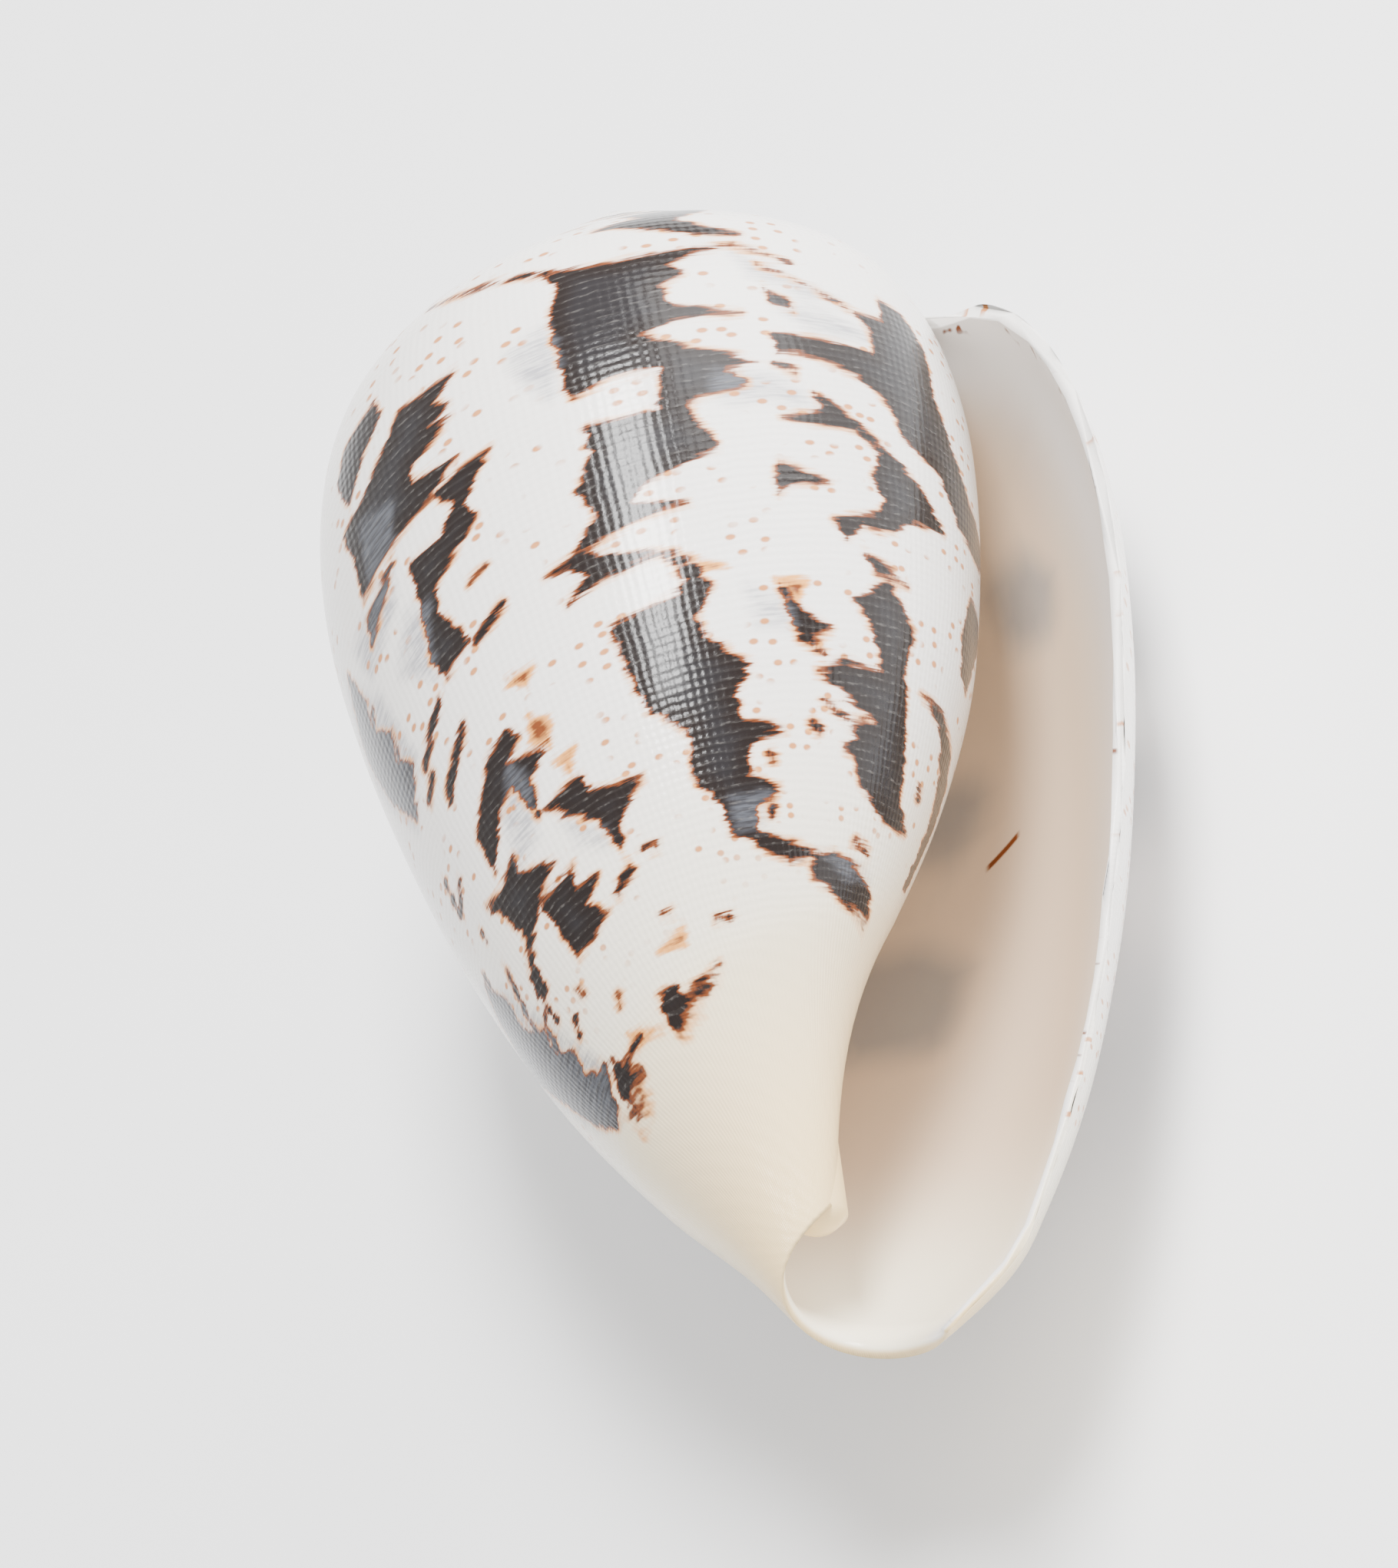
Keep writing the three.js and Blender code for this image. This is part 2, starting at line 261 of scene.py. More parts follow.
# The marks that the photograph shows, each as the corners of its outline: degrees of growth, and
# thousandths of the way along the outline. They point with their teeth to older growth.
DARK_MARKS = {
    "top block": [
        (-272, 195), (-285, 206), (-296, 203), (-307, 199), (-298, 210), (-293, 222), (-296, 235),
        (-291, 248), (-293, 277), (-305, 290), (-292, 292), (-286, 304), (-294, 325), (-306, 348),
        (-299, 353), (-304, 372), (-296, 381), (-290, 389), (-288, 362), (-289, 343), (-280, 340),
        (-273, 346), (-272, 320), (-272, 245), (-274, 215)],
    "second block": [
        (-274, 382), (-287, 388), (-289, 348), (-293, 345), (-292, 395), (-296, 435), (-289, 446),
        (-282, 456), (-279, 472), (-289, 486), (-279, 490), (-267, 497), (-273, 470), (-270, 442),
        (-274, 410)],
    "arc": [
        (-260, 504), (-268, 499), (-276, 520), (-285, 532), (-276, 531), (-270, 532), (-263, 540),
        (-268, 522), (-265, 509)],
    "third column": [
        (-282, 530), (-288, 545), (-290, 575), (-286, 600), (-288, 625), (-296, 658), (-291, 676),
        (-292, 705), (-302, 724), (-293, 732), (-291, 755), (-299, 776), (-292, 786), (-291, 808),
        (-298, 825), (-312, 848), (-300, 845), (-293, 830), (-284, 800), (-283, 775), (-278, 742),
        (-280, 702), (-272, 665), (-270, 580), (-284, 572), (-286, 558)],
    "tail blotch": [
        (-308, 850), (-316, 846), (-323, 857), (-336, 889), (-339, 911), (-325, 901), (-308, 866)],
    "right band": [
        (-310, 318), (-320, 319), (-331, 322), (-332, 295), (-328, 272), (-336, 272), (-337, 242),
        (-343, 246), (-348, 283), (-348, 340), (-354, 392), (-362, 435), (-376, 452), (-378, 475),
        (-366, 488), (-355, 475), (-348, 435), (-336, 410), (-334, 380), (-326, 352), (-314, 336),
        (-310, 338)],
    "wedge": [
        (-309, 411), (-318, 401), (-316, 382), (-322, 400), (-330, 428), (-340, 462), (-349, 499),
        (-338, 503), (-332, 521), (-328, 524), (-324, 520), (-320, 535), (-317, 516), (-329, 505),
        (-330, 488), (-327, 468), (-330, 440), (-324, 419), (-315, 416)],
    "triangle": [(-307, 457), (-317, 478), (-309, 482), (-306, 491)],
    "right column": [
        (-330, 580), (-334, 600), (-338, 622), (-336, 660), (-338, 700), (-341, 770), (-342, 798),
        (-350, 822), (-336, 816), (-324, 782), (-322, 755), (-318, 746), (-323, 738), (-312, 700),
        (-320, 722), (-328, 722), (-311, 672), (-318, 662), (-329, 673), (-326, 630), (-321, 599)],
    "column cap": [(-324, 549), (-336, 576), (-327, 570)],
    "crescent": [
        (-343, 679), (-355, 688), (-367, 714), (-373, 745), (-375, 790), (-370, 871), (-364, 871),
        (-367, 800), (-362, 742), (-356, 706)],
    "right edge": [
        (-364, 540), (-374, 542), (-378, 560), (-372, 600), (-368, 642), (-362, 632), (-359, 590)],
    "small brown": [
        (-304, 584), (-308, 610), (-315, 633), (-310, 641), (-313, 656), (-307, 640), (-306, 620)],
    "left mass": [
        (-253, 257), (-240, 255), (-237, 275), (-228, 300), (-219, 308), (-221, 340), (-220, 379),
        (-232, 370), (-243, 364), (-251, 344), (-240, 337), (-241, 320), (-251, 304), (-246, 298),
        (-251, 288), (-248, 277)],
    "left column": [
        (-257, 359), (-250, 358), (-244, 363), (-248, 385), (-243, 405), (-235, 402), (-234, 450),
        (-232, 490), (-234, 520), (-242, 508), (-238, 468), (-238, 445), (-246, 424), (-251, 411),
        (-249, 395), (-254, 370)],
    "left edge": [(-233, 216), (-222, 228), (-219, 250), (-223, 290), (-228, 265), (-235, 238)],
    "left streak": [(-231, 384), (-219, 400), (-218, 422), (-227, 403)],
    "low fork": [
        (-242, 606), (-245, 620), (-239, 630), (-246, 641), (-251, 639), (-243, 656), (-241, 691),
        (-238, 650), (-232, 658), (-226, 680), (-223, 687), (-224, 650), (-231, 630), (-236, 612)],
    "low saddle": [
        (-254, 686), (-254, 704), (-258, 712), (-267, 720), (-259, 740), (-256, 765), (-253, 728),
        (-243, 691), (-251, 687)],
    "low root": [
        (-230, 694), (-229, 710), (-239, 729), (-228, 748), (-219, 765), (-216, 794), (-212, 782),
        (-221, 748), (-218, 712), (-215, 694), (-222, 703)],
    "low tooth": [
        (-243, 747), (-240, 766), (-247, 770), (-241, 784), (-246, 802), (-238, 808), (-231, 807),
        (-231, 770), (-230, 747), (-235, 749)],
    "low fork mark": [(-246, 892), (-252, 896), (-254, 907), (-269, 907), (-256, 913), (-244, 912)],
    "base brush": [
        (-194, 700), (-200, 745), (-197, 768), (-205, 800), (-201, 815), (-209, 842), (-205, 858),
        (-213, 882), (-206, 898), (-197, 900), (-189, 862), (-184, 810), (-175, 738)],
    "left brush": [
        (-204, 388), (-209, 440), (-206, 455), (-214, 500), (-210, 512), (-216, 540), (-208, 566),
        (-201, 520), (-196, 450)],
    "base hook": [(-233, 899), (-217, 907), (-211, 910), (-210, 897), (-218, 886), (-220, 896)],
    "base streak": [(-225, 910), (-203, 914), (-213, 917)],
    "shoulder blotch": [
        (-287, 100), (-297, 78), (-309, 84), (-303, 125), (-297, 148), (-304, 172), (-309, 181),
        (-300, 180), (-294, 165), (-287, 152), (-281, 140), (-292, 128)],
    "top spot": [(-310, 259), (-314, 274), (-315, 286), (-311, 279)],
}
HAZE_MARKS = {
    "beside the top block": [(-271, 258), (-263, 270), (-264, 300), (-269, 340), (-273, 300)],
    "under its teeth": [(-298, 352), (-308, 362), (-317, 398), (-300, 392), (-296, 380)],
    "before the right band": [(-311, 281), (-322, 284), (-332, 308), (-318, 311)],
    "on the shoulder": [(-306, 212), (-314, 236), (-327, 268), (-317, 265), (-308, 242)],
    "middle": [(-297, 580), (-306, 602), (-307, 632), (-298, 618)],
    "in the low fork": [(-240, 628), (-243, 660), (-238, 702), (-229, 710), (-233, 660)],
    "in the left mass": [(-235, 330), (-233, 372), (-223, 374), (-225, 318)],
    "by the left column": [(-237, 445), (-230, 438), (-223, 470), (-232, 514)],
    "left band": [(-231, 390), (-228, 425), (-214, 440), (-211, 395)],
    "on the tail blotch": [(-312, 845), (-325, 855), (-334, 878), (-322, 876)],
    "end of the third column": [(-285, 770), (-297, 780), (-293, 810), (-285, 800)],
    "base hatching": [
        (-190, 690), (-203, 742), (-211, 832), (-215, 880), (-200, 903), (-184, 850), (-170, 735)],
    "low left": [(-201, 380), (-215, 462), (-218, 540), (-206, 572), (-192, 470)],
    "under the saddle": [(-246, 709), (-255, 745), (-253, 757), (-247, 736)],
}
RUST_MARKS = {
    "orange patch": [(-248, 607), (-252, 625), (-250, 646), (-246, 630)],
    "two teeth": [(-249, 663), (-255, 661), (-252, 679)],
    "flick": [(-246, 568), (-253, 572), (-250, 586)],
    "brown head": [(-303, 577), (-310, 583), (-307, 606)],
    "low spot": [(-263, 860), (-261, 871), (-253, 862)],
    "base spur": [(-229, 889), (-240, 909), (-229, 901)],
    "column top": [(-288, 544), (-294, 558), (-289, 557)],
}
# Where a dark mark outside greys the lining
SHADE_MARKS = {
    "by the notch": [(-19, 203), (-10, 193), (-4, 225), (-10, 260), (-19, 246)],
    "upper": [(-53, 230), (-42, 224), (-37, 260), (-44, 292), (-53, 276)],
    "middle": [(-80, 360), (-66, 364), (-61, 410), (-72, 442), (-81, 420)],
    "by the pillar": [(-98, 518), (-80, 508), (-71, 550), (-79, 612), (-99, 624)],
}
# Drawn strokes and spots: where they start, where they end, and their width in millimetres
DARK_STROKES = {
    "long dash": [(-251, 503), (-243, 516), 0.3],
    "short dash": [(-250, 458), (-246, 462), 0.2],
    "streak over the saddle": [(-230, 530), (-219, 556), 0.45],
    "its neighbour": [(-233, 569), (-222, 600), 0.5],
    "its end": [(-220, 569), (-215, 579), 0.3],
    "low streak": [(-206, 629), (-204, 659), 0.34],
    "low thin streak": [(-212, 649), (-205, 661), 0.2],
    "spot after the saddle": [(-261, 778), (-264, 782), 0.26],
    "spot below it": [(-259, 838), (-261, 840), 0.26],
    "dash below the saddle": [(-256, 784), (-250, 796), 0.34],
    "base spot": [(-235, 861), (-233, 866), 0.24],
    "base speck": [(-226, 829), (-224, 824), 0.24],
    "base dash": [(-218, 834), (-215, 841), 0.24],
    "hatch speck": [(-212, 801), (-212, 813), 0.22],
    "left speck": [(-208, 697), (-208, 703), 0.2],
    "speck in the right gap": [(-350, 774), (-352, 783), 0.2],
    "speck on the belly": [(-273, 869), (-277, 873), 0.2],
    "dash under the band": [(-309, 351), (-313, 359), 0.24],
    "crescent speck": [(-309, 719), (-311, 729), 0.26],
    "tooth speck": [(-297, 742), (-298, 748), 0.26],
    "second tooth speck": [(-296, 794), (-296, 801), 0.3],
    "tail speck": [(-324, 837), (-331, 851), 0.2],
    "shoulder dash": [(-275, 102), (-281, 92), 0.14],
    "shoulder tuft": [(-245, 126), (-250, 112), (-254, 98), 0.4],
    "suture": [(-246, 146), (-254, 162), (-263, 176), (-274, 194), 0.16],
    "suture on the right": [(-306, 201), (-311, 208), (-317, 219), 0.12],
    "shoulder line": [(-310, 228), (-316, 242), (-327, 271), 0.09],
    "hatch by the edge": [(-206, 757), (-202, 782), 0.3],
    "hatch below": [(-206, 806), (-201, 842), 0.4],
    "hatch at the base": [(-214, 877), (-202, 897), 0.34],
    "hatch between": [(-208, 739), (-201, 794), 0.22],
    "outer hatch": [(-197, 702), (-195, 780), 0.26],
    "last hatch": [(-202, 838), (-196, 886), 0.34],
    "left hatch": [(-214, 499), (-210, 527), 0.22],
    "left hatch above": [(-210, 454), (-203, 477), 0.28],
    "line in the low root": [(-214, 770), (-217, 790), (-208, 800), 0.12],
}
# A blotch on the spire's shoulder: degrees from the place it stands at, and thousandths along
SPIRE_MARK = [
    (-15, 32), (2, 8), (12, 30), (28, 48), (10, 66), (20, 92), (4, 118), (-10, 100), (-20, 84),
    (-8, 60)]
SPIRE_MARK_TURNS = (-470, -562, -660, -728, -842, -918, -1010, -1100, -1190)
SPIRE_MARKS = [[(turn + aside, along) for aside, along in SPIRE_MARK] for turn in SPIRE_MARK_TURNS]
HIDDEN_SHIFT = 240  # the marks come back this much later on the side that the photograph hides
HIDDEN_FROM = -166
PALE_LIP = (-18, -5)  # where they fade out towards the lip
PALE_LIP_MM = 5
FAR_OUTSIDE = -9.0
NEAR = (14, 0.06)  # how far round a mark its depth is worked out

# Each kind of mark: its outlines, its strokes, and its shift on the hidden side
FIELDS = {
    "dark": ([*DARK_MARKS.values(), *SPIRE_MARKS], DARK_STROKES.values(), HIDDEN_SHIFT),
    "haze": (HAZE_MARKS.values(), (), HIDDEN_SHIFT),
    "rust": (RUST_MARKS.values(), (), HIDDEN_SHIFT),
    "shade": (SHADE_MARKS.values(), (), 0),
}


def marked_chart(turn, along, middle):
    """Millimetres round and along the shell, flattened about a mark's middle."""
    size = EXPANSION ** (middle[0] / 360)
    round_axis = float(outline_at(middle[1])[0]) * size * math.pi / 180
    return np.stack([np.asarray(turn) * round_axis,
                     np.asarray(along) * OUTLINE_LENGTH * size], -1)


def from_segment(places, start, end):
    reach = end - start
    share = np.clip((places - start) @ reach / (reach @ reach), 0, 1)
    return np.linalg.norm(places - start - share[:, None] * reach, axis=1)


def depth_in_outline(places, corners):
    """How deep the places lie inside an outline, which is less than 0 outside it."""
    distance = np.full(len(places), np.inf)
    inside = np.zeros(len(places), bool)
    for start, end in zip(corners, np.roll(corners, -1, axis=0)):
        distance = np.minimum(distance, from_segment(places, start, end))
        spans = (start[1] > places[:, 1]) != (end[1] > places[:, 1])
        rise = (end[1] - start[1]) or 1
        crossing = start[0] + (places[:, 1] - start[1]) * (end[0] - start[0]) / rise
        inside ^= spans & (places[:, 0] < crossing)
    return np.where(inside, distance, -distance)


def depth_in_stroke(places, corners, width):
    distance = np.full(len(places), np.inf)
    for start, end in zip(corners, corners[1:]):
        distance = np.minimum(distance, from_segment(places, start, end))
    return width / 2 - distance


def marked_depth(outlines, strokes, shift, turn, along):
    """How deep each point of the surface lies inside the nearest mark, in millimetres."""
    depth = np.full(len(turn), FAR_OUTSIDE)
    seen = np.where(turn > HIDDEN_FROM, turn - shift, turn)
    shapes = [(corners, depth_in_outline) for corners in outlines]
    shapes += [(corners, partial(depth_in_stroke, width=width)) for *corners, width in strokes]
    for corners, depth_at in shapes:
        corners = np.array(corners, float) * (1, THOUSANDTH)
        low, high = corners.min(0) - NEAR, corners.max(0) + NEAR
        near = (seen > low[0]) & (seen < high[0]) & (along > low[1]) & (along < high[1])
        middle = corners.mean(0)
        places = marked_chart(seen[near], along[near], middle)
        found = depth_at(places, marked_chart(*corners.T, middle))
        depth[near] = np.maximum(depth[near], found)
    if shift:
        depth -= PALE_LIP_MM * smoothstep(turn, *PALE_LIP)
    return depth


def sort_faces(bm):
    """Put the faces in the order of their corners, because the operators' order can change."""
    bm.verts.index_update()
    count = len(bm.verts)

    def rank(face):
        corners = [vert.index for vert in face.verts]
        return min(corners) * count + max(corners)

    bm.faces.sort(key=rank)


REST_TURN = (Matrix.Rotation(math.radians(REST_PITCH), 3, "X")
             @ Matrix.Rotation(math.radians(REST_ROLL), 3, "Y"))


def lay_down(bm):
    """Turn the shell to the attitude it settles in, inside the CAD node's box, and flatten the
    spot it rests on. Returns where a point of the shell's own frame ends up, in metres."""
    bmesh.ops.rotate(bm, verts=bm.verts, cent=(0, 0, 0), matrix=REST_TURN)
    places = np.array([vert.co for vert in bm.verts])
    low, high = places.min(0), places.max(0)
    box_low, box_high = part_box("shell")
    target_low = np.array(box_low) - (0, 0, FLAT_DEPTH * MM)
    scale = (np.array(box_high) - target_low) / (high - low)
    for vert, place in zip(bm.verts, (places - low) * scale + target_low):
        vert.co = (place[0], place[1], max(place[2], 0))
    return lambda point: Vector((np.array(REST_TURN @ Vector(point)) - low) * scale + target_low)


def build_shell(name):
    """The shell, and the function that gives a place of its own frame in the scene's."""
    bm = bmesh.new()
    layers = {key: bm.verts.layers.float.new(key) for key in ("growth", "along", "lining")}
    shoulder = shoulder_section()
    sweep(bm, layers, [(turn, shoulder) for turn in SPIRE_TURNS])
    sweep(bm, layers, [(turn, wall_section(turn)) for turn in BODY_TURNS])
    columella(bm, layers)
    bmesh.ops.recalc_face_normals(bm, faces=bm.faces)
    sort_faces(bm)
    rest_place = lay_down(bm)
    turn, along = (np.array([vert[layers[key]] for vert in bm.verts]) for key in ("growth", "along"))
    mesh = bpy.data.meshes.new(name)
    bm.to_mesh(mesh)
    bm.free()
    mesh.shade_smooth()
    for key, (outlines, strokes, shift) in FIELDS.items():
        depth = marked_depth(outlines, strokes, shift, turn, along)
        mesh.attributes.new(key, "FLOAT", "POINT").data.foreach_set("value", depth)
    shell = bpy.data.objects.new(name, mesh)
    bpy.context.scene.collection.objects.link(shell)
    return shell, rest_place


class Shade:
    """One socket of a material's node tree, which arithmetic can be written with."""

    def __init__(self, tree, socket=None):
        self.tree = tree
        self.socket = socket

    def node(self, kind, settings, inputs, output=0):
        """Add a node: its type, its settings, then its inputs. Returns one of its outputs."""
        node = self.tree.nodes.new(kind)
        for key, value in settings.items():
            setattr(node, key, value)
        for key, value in inputs.items():
            if isinstance(value, Shade):
                self.tree.links.new(value.socket, node.inputs[key])
            else:
                node.inputs[key].default_value = value
        return Shade(self.tree, node.outputs[output])

    def maths(self, operation, *values):
        return self.node("ShaderNodeMath", {"operation": operation}, dict(enumerate(values)))

    def __add__(self, other):
        return self.maths("ADD", self, other)

    def __sub__(self, other):
        return self.maths("SUBTRACT", self, other)

    def __rsub__(self, other):
        return self.maths("SUBTRACT", other, self)

    def __mul__(self, other):
        return self.maths("MULTIPLY", self, other)

    def __truediv__(self, other):
        return self.maths("DIVIDE", self, other)

    __radd__ = __add__
    __rmul__ = __mul__

    def sine(self):
        return self.maths("SINE", self)

    def size(self):
        return self.maths("ABSOLUTE", self)

    def attribute(self, name):
        return self.node("ShaderNodeAttribute", {"attribute_name": name}, {}, 2)

    def rising(self, low, high):
        """0 up to low, then smoothly to 1 at high."""
        return self.node("ShaderNodeMapRange", {"interpolation_type": "SMOOTHSTEP"},
                         {0: self, 1: low, 2: high})

    def between(self, low, high):
        """Low where this value is 0, high where it is 1."""
        return low + (high - low) * self

    def blend(self, colour, other):
        """The first colour where this value is 0, the other where it is 1."""
        return self.node("ShaderNodeMix", {"data_type": "RGBA"}, {
            0: self, 6: colour if isinstance(colour, Shade) else (*colour, 1),
            7: other if isinstance(other, Shade) else (*other, 1)}, 2)

    def noise(self, around, across, grain, detail=2):
        """Noise, from 0 to 1, over two coordinates, with its grain in each of them."""
        place = self.node("ShaderNodeCombineXYZ", {}, {0: around * grain[0], 1: across * grain[1]})
        return self.node("ShaderNodeTexNoise", {"noise_dimensions": "2D"},
                         {"Vector": place, "Scale": 1, "Detail": detail})


WHITE = (0.86, 0.83, 0.79)
CREAM = (0.87, 0.79, 0.62)
PEACH = (0.90, 0.65, 0.30)
CHOCOLATE = (0.010, 0.006, 0.005)
CHARCOAL = (0.014, 0.012, 0.013)
# Painted on the thread crests in the dark marks: partly their own paler colour, partly painted
# glints of light.
THREAD_AND_GLINT_GREY = (0.16, 0.15, 0.14)
RUST = (0.16, 0.04, 0.01)
ORANGE = (0.75, 0.33, 0.09)
DOT_BROWN = (0.52, 0.17, 0.02)
HAZE = (0.20, 0.20, 0.24)
VEIL = (0.085, 0.09, 0.105)
# LINING is partly the inside's own pinkish beige and partly painted shade deep in the aperture.
# LINING_AT_LIP is paler: painted light that comes through the thin lip.
LINING = (0.64, 0.49, 0.35)
LINING_SHADE = (0.30, 0.275, 0.255)
LINING_AT_LIP = (0.80, 0.77, 0.74)
NO_GLOW = (0, 0, 0)

# A grain is in cells to a millimetre: along the threads, and across them. A pair of limits is
# where something starts and where it is full.

# The threads, the growth lines and their relief, in millimetres as they are at the lip
MEAN_RADIUS = 17  # of the outline at the lip
LEAD_FROM = 287  # the threads run steeper than the growth on the far side of this angle
LEAD_ALONG = (0.5, 0.85)
LEAD = 0.045  # millimetres of lead for each degree
THREAD_PITCH = 0.57
GROWTH_PITCH = 0.52
SWAY = 3  # how far the noise sways them, in radians
SWAY_GRAIN = (0.5, 0.5)
RELIEF_MM = 0.016
PIT_GRAIN = (3, 3)
PITS = 0.6  # the pits' depth as a share of the relief

# The ground's cream and peach, from these places along the outline on
CREAM_ALONG = (0.62, 0.98)
PEACH_ALONG = (0.86, 0.99)
PEACH_SHARE = 0.85

# The dots
DOT_GAP = 1.7
DOT_ROW_GAP = 1.15
DOT_SCATTER = 0.75
DOT_EDGE = (0.12, 0.24)  # a dot's radius, as a share of the gap
DOT_SHARE = 0.9
DOT_AREAS_GRAIN = (0.22, 0.35)
DOT_AREAS = (0.49, 0.6)
DOTS_END_ALONG = (0.8, 0.88)

# The marks' ragged edges
TOOTH_MM = 0.75
TOOTH_GRAIN = (0.28, 1.7)
FIBRE_MM = 0.3
FIBRE_GRAIN = (0.5, 6)

# How deep in a mark each of its colours starts, and how deep it is full, in millimetres
ORANGE_RIM = (-0.45, -0.12)
RUST_RIM = (-0.2, -0.02)
DARK_EDGE = (-0.04, 0.1)
DARK_HEART = (0.2, 1.4)
HAZE_EDGE = (-0.7, 0.7)
VEIL_EDGE = (-0.4, 0.5)
RUST_MARK_EDGE = (-0.35, 0.05)
RUST_MARK_HEART = (0.0, 0.35)
SHADE_EDGE = (-1.8, 1.6)

# How the colours vary inside the marks: each one's least and greatest share
GLOW_GRAIN = (0.3, 0.6)
GLOW_EDGE = (0.35, 0.65)
RIM_SHARE = (0.25, 0.85)
STRAND_GRAIN = (0.5, 5)
STRAND_EDGE = (0.35, 0.65)
VEIL_SHARE = (0.35, 0.85)
MOTTLE_GRAIN = (0.15, 0.3)
HAZE_LEAST = 0.15
HAZE_MOTTLE = 0.4
HAZE_STRANDS = 0.35
# The thread crests in the dark marks are lightened: partly their own paler colour, partly painted
# glints of light.
FLECK_GRAIN = (1.7, 4.5)
FLECK_EDGE = (0.5, 0.75)
THREAD_CREST = (0.62, 1)
THREAD_SHARE = (0.04, 0.32)

# The lining. Its beige is darkened with painted shade deep in the aperture, and paler with painted
# light near the lip
LINING_FROM = (0.3, 0.7)  # where the wall's outside turns to its inside
CLOUD_GRAIN = (0.1, 0.08)
CLOUD_MM = 4
LINING_SHADE_SHARE = 0.9
LINING_CREAM_ALONG = (0.72, 0.97)
LINING_AT_LIP_TURN = (-42, -12)
LIP_FLECK_GRAIN = (0.5, 0.9)
LIP_FLECK_EDGE = (0.66, 0.74)
LIP_FLECK_TURN = (-7, -2)
SCRATCH_TURN = -62  # the middle of a brown scratch inside
SCRATCH_ALONG = 0.45
SCRATCH_SLOPE = 0.0019
SCRATCH_WIDTH = (0.0015, 0.0045)
SCRATCH_LENGTH = (3, 4.5)

# The glaze. The glow stands for the light that comes through the thin wall.
GLAZE = {
    "Emission Strength": 0.18, "Roughness": 0.2, "Specular IOR Level": 0.26,
    "Coat Weight": 0.08, "Coat Roughness": 0.06}


def spiral_coordinates(start):
    """The growth angle and the place along the outline, and millimetres along the threads and
    across them, as they are at the lip's size."""
    turn, along = start.attribute("growth"), start.attribute("along")
    around = turn * (MEAN_RADIUS * math.pi / 180)
    lead = (turn + LEAD_FROM) * along.rising(*LEAD_ALONG) * LEAD
    return turn, along, around, along * OUTLINE_LENGTH + lead


def threads_and_growth(start, around, across):
    """The fine spiral threads and the growth lines that cross them, each from 0 to 1."""
    sway = start.noise(around, across, SWAY_GRAIN) * SWAY
    thread = (across * (math.tau / THREAD_PITCH) + sway).sine() * 0.5 + 0.5
    growth = (around * (math.tau / GROWTH_PITCH) + sway).sine() * 0.5 + 0.5
    return thread, growth


def ragged(depth, around, across):
    """A mark's depth with its edge drawn out in teeth along the threads."""
    teeth = depth.noise(around, across, TOOTH_GRAIN, 3) - 0.5
    fibres = depth.noise(around, across, FIBRE_GRAIN, 1) - 0.5
    return depth + teeth * TOOTH_MM + fibres * FIBRE_MM


def dots(start, around, across, along):
    """Rows of small orange-brown dots along some of the threads."""
    place = start.node("ShaderNodeCombineXYZ", {}, {0: around / DOT_GAP, 1: across / DOT_ROW_GAP})
    from_dot = start.node("ShaderNodeTexVoronoi", {"voronoi_dimensions": "2D"},
                          {"Vector": place, "Scale": 1, "Randomness": DOT_SCATTER})
    here = start.noise(around, across, DOT_AREAS_GRAIN, 1).rising(*DOT_AREAS)
    return (1 - from_dot.rising(*DOT_EDGE)) * here * (1 - along.rising(*DOTS_END_ALONG))


def ground_colour(start, around, across, along, haze, strands):
    """The white ground, cream and peach at the front, with its haze and its dots."""
    colour = along.rising(*CREAM_ALONG).blend(WHITE, CREAM)
    colour = (along.rising(*PEACH_ALONG) * PEACH_SHARE).blend(colour, PEACH)
    mottle = start.noise(around, across, MOTTLE_GRAIN)
    hazy = HAZE_LEAST + HAZE_MOTTLE * mottle + HAZE_STRANDS * strands
    colour = (haze.rising(*HAZE_EDGE) * hazy).blend(colour, HAZE)
    return (dots(start, around, across, along) * DOT_SHARE).blend(colour, DOT_BROWN)


def dark_colour(start, around, across, dark, haze, strands, thread):
    """A dark mark's own brown, with its veil of grey, and its thread crests lightened, partly their
    own paler colour and partly painted glints.
    """
    colour = dark.rising(*DARK_HEART).blend(CHOCOLATE, CHARCOAL)
    veil = haze.rising(*VEIL_EDGE) * strands.between(*VEIL_SHARE)
    fleck = start.noise(around, across, FLECK_GRAIN).rising(*FLECK_EDGE)
    # Painted glints: the crests are lightened in scattered flecks, partly as their own paler colour.
    crest = thread.rising(*THREAD_CREST) * fleck.between(*THREAD_SHARE)
    return crest.blend(veil.blend(colour, VEIL), THREAD_AND_GLINT_GREY)


def outer_colour(start, around, across, along, thread):
    """The ground, and the dark marks with their rusty rims."""
    dark, haze, rust = (ragged(start.attribute(name), around, across)
                        for name in ("dark", "haze", "rust"))
    strands = start.noise(around, across, STRAND_GRAIN).rising(*STRAND_EDGE)
    glow = start.noise(around, across, GLOW_GRAIN).rising(*GLOW_EDGE)
    colour = ground_colour(start, around, across, along, haze, strands)
    colour = rust.rising(*RUST_MARK_EDGE).blend(colour, ORANGE)
    colour = rust.rising(*RUST_MARK_HEART).blend(colour, RUST)
    colour = (dark.rising(*ORANGE_RIM) * glow.between(*RIM_SHARE)).blend(colour, ORANGE)
    colour = dark.rising(*RUST_RIM).blend(colour, RUST)
    mark = dark_colour(start, around, across, dark, haze, strands, thread)
    return dark.rising(*DARK_EDGE).blend(colour, mark)


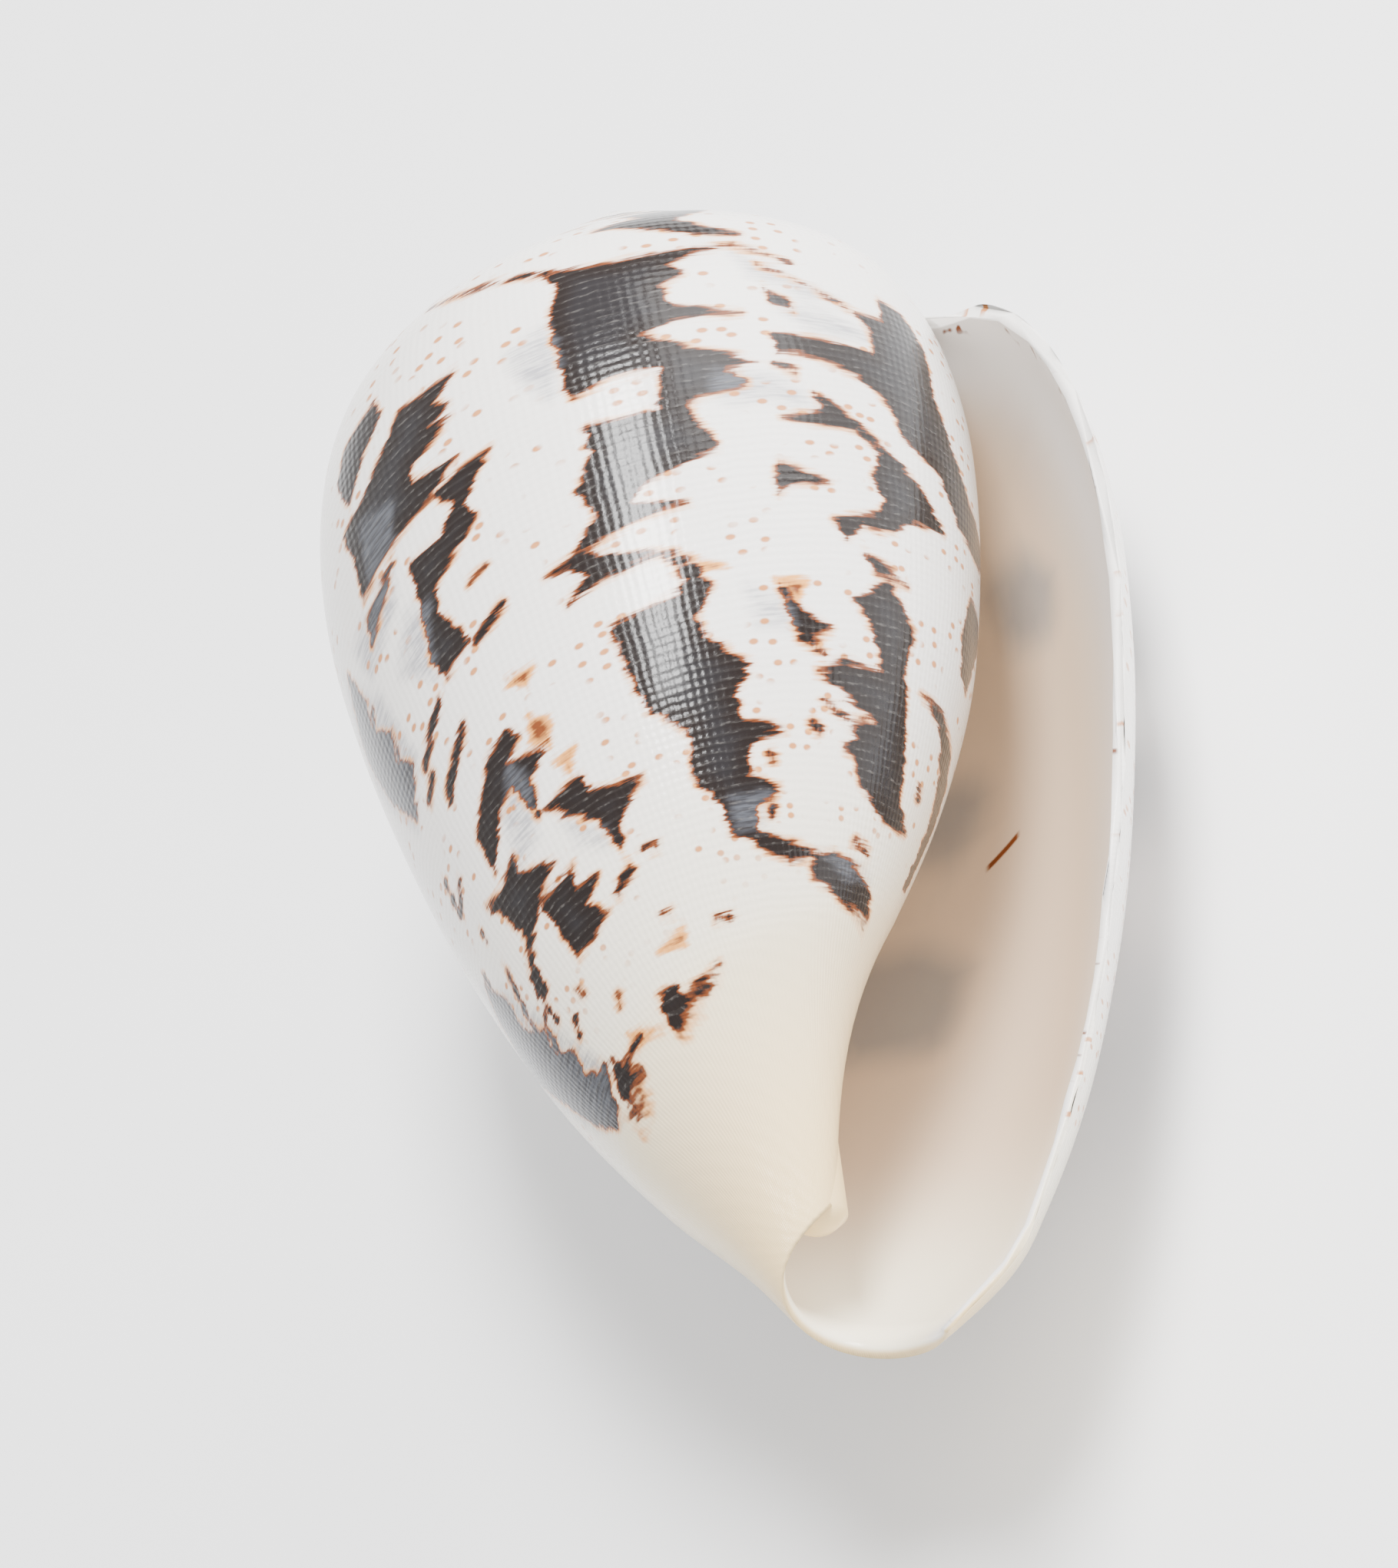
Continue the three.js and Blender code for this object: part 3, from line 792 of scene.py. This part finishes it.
def lining_colour(start, around, across, turn, along):
    """The inside: beige, partly its own colour and partly painted shade deeper in, greyer in
    patches, paler near the lip with painted light through the thin wall, with rusty flecks on its
    edge.
    """
    cloud = start.noise(around, across, CLOUD_GRAIN, 1) - 0.5
    shade = (start.attribute("shade") + CLOUD_MM * cloud).rising(*SHADE_EDGE)
    colour = (shade * LINING_SHADE_SHARE).blend(LINING, LINING_SHADE)
    colour = along.rising(*LINING_CREAM_ALONG).blend(colour, CREAM)
    # Painted light: the lining turns paler towards the lip, as if lit through the thin wall. Deeper
    # in, it keeps its beige with the painted shade.
    colour = turn.rising(*LINING_AT_LIP_TURN).blend(colour, LINING_AT_LIP)
    fleck = start.noise(around, across, LIP_FLECK_GRAIN, 1).rising(*LIP_FLECK_EDGE)
    past_middle = turn - SCRATCH_TURN
    off_line = (along - SCRATCH_ALONG + past_middle * SCRATCH_SLOPE).size()
    scratch = ((1 - off_line.rising(*SCRATCH_WIDTH))
               * (1 - past_middle.size().rising(*SCRATCH_LENGTH)))
    return (fleck * turn.rising(*LIP_FLECK_TURN) + scratch).blend(colour, RUST)


def shell_material():
    material = bpy.data.materials.new("shell")
    material.use_nodes = True
    tree = material.node_tree
    shader = tree.nodes["Principled BSDF"]
    start = Shade(tree)
    turn, along, around, across = spiral_coordinates(start)
    thread, growth = threads_and_growth(start, around, across)
    lining = start.attribute("lining")
    inside = lining_colour(start, around, across, turn, along)
    outside = outer_colour(start, around, across, along, thread)
    relief = (thread + growth) * 0.5 + start.noise(around, across, PIT_GRAIN) * PITS
    normal = start.node("ShaderNodeBump", {}, {
        "Strength": 1, "Distance": RELIEF_MM * MM, "Height": relief * (1 - lining)})
    on_lining = lining.rising(*LINING_FROM)
    for name, value in (("Base Color", on_lining.blend(outside, inside)), ("Normal", normal),
                        ("Emission Color", on_lining.blend(NO_GLOW, inside))):
        tree.links.new(value.socket, shader.inputs[name])
    for name, value in GLAZE.items():
        shader.inputs[name].default_value = value
    return material


def floor_material():
    material = bpy.data.materials.new("floor")
    material.use_nodes = True
    shader = material.node_tree.nodes["Principled BSDF"]
    shader.inputs["Base Color"].default_value = (*FLOOR_COLOUR, 1)
    shader.inputs["Roughness"].default_value = FLOOR_ROUGHNESS
    return material


def build_floor():
    bm = bmesh.new()
    bmesh.ops.create_grid(bm, x_segments=4, y_segments=4, size=FLOOR_HALF)
    mesh = bpy.data.meshes.new("floor")
    bm.to_mesh(mesh)
    bm.free()
    mesh.materials.append(floor_material())
    floor = bpy.data.objects.new("floor", mesh)
    bpy.context.scene.collection.objects.link(floor)


def camera_axes():
    """Unit vectors to the picture's right, up and towards the camera, in the shell's own frame."""
    tilt, roll = math.radians(CAMERA_TILT), math.radians(CAMERA_ROLL)
    upright = Vector((0, math.cos(tilt), math.sin(tilt)))
    back = Vector((0, -math.sin(tilt), math.cos(tilt)))
    across = Vector((1, 0, 0))
    right = across * math.cos(roll) - upright * math.sin(roll)
    up = across * math.sin(roll) + upright * math.cos(roll)
    return right, up, back


def set_place(thing, right, up, back, place):
    """Stand a camera or a light at a place, looking against its back."""
    turn = Matrix((right, up, back)).transposed().to_4x4()
    thing.matrix_world = Matrix.Translation(place) @ turn


def build_camera(rest_place):
    right, up, back = (REST_TURN @ axis for axis in camera_axes())
    target = rest_place((0, CAMERA_TARGET, 0))
    place = target + back * CAMERA_DISTANCE * MM
    aside = (PICTURE[0] / 2 - TARGET_PIXEL[0]) / CAMERA_PIXELS_PER_MM * MM
    above = (TARGET_PIXEL[1] - PICTURE[1] / 2) / CAMERA_PIXELS_PER_MM * MM
    centre = target + right * aside + up * above
    view = (place - centre).normalized()
    right = (right - view * right.dot(view)).normalized()
    data = bpy.data.cameras.new("camera")
    data.sensor_fit = "VERTICAL"
    data.sensor_height = SENSOR_MM
    data.lens = CAMERA_PIXELS_PER_MM * CAMERA_DISTANCE * SENSOR_MM / PICTURE[1]
    data.clip_start = CLIP_START
    camera = bpy.data.objects.new("camera", data)
    bpy.context.scene.collection.objects.link(camera)
    set_place(camera, right, view.cross(right), view, place)
    bpy.context.scene.camera = camera


def area_light(name, target, direction, distance, size, power):
    data = bpy.data.lights.new(name, "AREA")
    data.shape = "RECTANGLE"
    data.size, data.size_y = size
    data.energy = power
    light = bpy.data.objects.new(name, data)
    bpy.context.scene.collection.objects.link(light)
    back = (REST_TURN @ Vector(direction)).normalized()
    right = (REST_TURN @ Vector(SHELL_AXIS)).cross(back).normalized()
    set_place(light, right, back.cross(right), back, target + back * distance)


def build_lights(rest_place):
    target = rest_place((0, CAMERA_TARGET, 0))
    area_light("strip", target, **STRIP)
    area_light("fill", target, **FILL)
    world = bpy.data.worlds.new("studio")
    bpy.context.scene.world = world
    world.use_nodes = True
    background = world.node_tree.nodes["Background"]
    background.inputs["Color"].default_value = (1, 1, 1, 1)
    background.inputs["Strength"].default_value = ROOM_LIGHT


shell, rest_place = build_shell("cone_shell")
shell.data.materials.append(shell_material())
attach(shell, "root")
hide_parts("shell")
build_floor()
build_camera(rest_place)
build_lights(rest_place)
